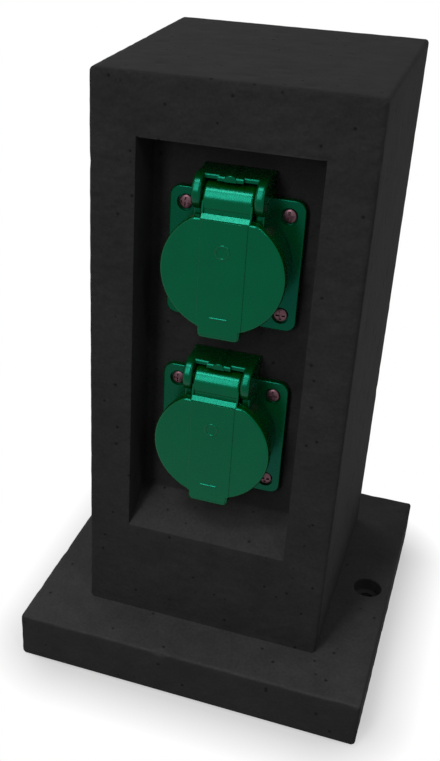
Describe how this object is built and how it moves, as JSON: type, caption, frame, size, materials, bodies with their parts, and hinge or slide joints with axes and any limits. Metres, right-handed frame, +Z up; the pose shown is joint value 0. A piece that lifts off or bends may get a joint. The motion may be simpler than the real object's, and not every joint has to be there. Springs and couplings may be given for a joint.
{
  "type": "outdoor double socket",
  "caption": "Square cast-stone garden post on a slab, with hinged-lid outdoor sockets set in a front recess.",
  "frame": {"origin": "middle of the footprint, on the ground", "axes": "+Z up the post; -Y out of the front with the sockets; +X to the right seen from the front"},
  "size_m": [0.146, 0.146, 0.25],
  "materials": {
    "pillar_stone": "cast anthracite stone with fine open pores, matt",
    "slab_stone": "cast anthracite stone with fine open pores, matt",
    "green_housing": "glossy green moulded polyamide",
    "green_lid": "glossy green moulded polyamide, a shade lighter",
    "seal_rubber": "black elastomer, matt",
    "gasket_foam": "closed-cell foam rubber, matt",
    "screw_steel": "warm-toned plated steel",
    "pin_steel": "ground stainless steel",
    "spring_steel": "drawn stainless wire",
    "carrier_resin": "light grey thermoset",
    "contact_brass": "bright brass",
    "earth_spring_brass": "nickel-plated spring brass",
    "gland_polyamide": "black moulded polyamide",
    "block_resin": "ivory thermoset",
    "foot_rubber": "black rubber",
    "wire_brown": "brown wire insulation",
    "wire_blue": "blue wire insulation",
    "wire_green_yellow": "green and yellow wire insulation"
  },
  "bodies": {
    "post": {"base_plate": "slab_stone", "rubber_feet": "foot_rubber", "pillar_body": "pillar_stone", "base_gasket": "gasket_foam", "base_screws": "pin_steel", "base_inserts": "contact_brass", "flange_inserts": "contact_brass", "gland_body": "gland_polyamide", "gland_seal": "seal_rubber", "gland_nut": "gland_polyamide", "gland_locknut": "gland_polyamide", "terminal_block": "block_resin", "pole_tubes": "contact_brass", "pole_screws": "pin_steel", "block_screws": "pin_steel", "line_supply_wire": "wire_brown", "line_jumper_wire": "wire_brown", "neutral_supply_wire": "wire_blue", "neutral_jumper_wire": "wire_blue", "earth_supply_wire": "wire_green_yellow", "earth_jumper_wire": "wire_green_yellow", "upper_socket_housing": "green_housing", "upper_flange_gasket": "gasket_foam", "upper_flange_screws": "screw_steel", "upper_hinge_pin": "pin_steel", "upper_lid_spring": "spring_steel", "upper_contact_carrier": "carrier_resin", "upper_line_contact": "contact_brass", "upper_neutral_contact": "contact_brass", "upper_earth_bracket": "earth_spring_brass", "upper_terminal_screws": "pin_steel", "upper_carrier_screw": "pin_steel", "lower_socket_housing": "green_housing", "lower_flange_gasket": "gasket_foam", "lower_flange_screws": "screw_steel", "lower_hinge_pin": "pin_steel", "lower_lid_spring": "spring_steel", "lower_contact_carrier": "carrier_resin", "lower_line_contact": "contact_brass", "lower_neutral_contact": "contact_brass", "lower_earth_bracket": "earth_spring_brass", "lower_terminal_screws": "pin_steel", "lower_carrier_screw": "pin_steel"},
    "upper_lid_body": {"upper_lid": "green_lid", "upper_lid_seal": "seal_rubber"},
    "lower_lid_body": {"lower_lid": "green_lid", "lower_lid_seal": "seal_rubber"}
  },
  "joints": [
    {"name": "upper_lid_hinge", "type": "hinge", "parent": "post", "child": "upper_lid_body", "pos_m": [0, -0.042, 0.2096], "axis": [-1, 0, 0], "range_deg": [0, 90], "stiffness_Nm_per_rad": 0.02, "springref_deg": -34.38, "deforming": ["upper_lid_spring"]},
    {"name": "lower_lid_hinge", "type": "hinge", "parent": "post", "child": "lower_lid_body", "pos_m": [0, -0.042, 0.1376], "axis": [-1, 0, 0], "range_deg": [0, 90], "stiffness_Nm_per_rad": 0.02, "springref_deg": -34.38, "deforming": ["lower_lid_spring"]}
  ]
}
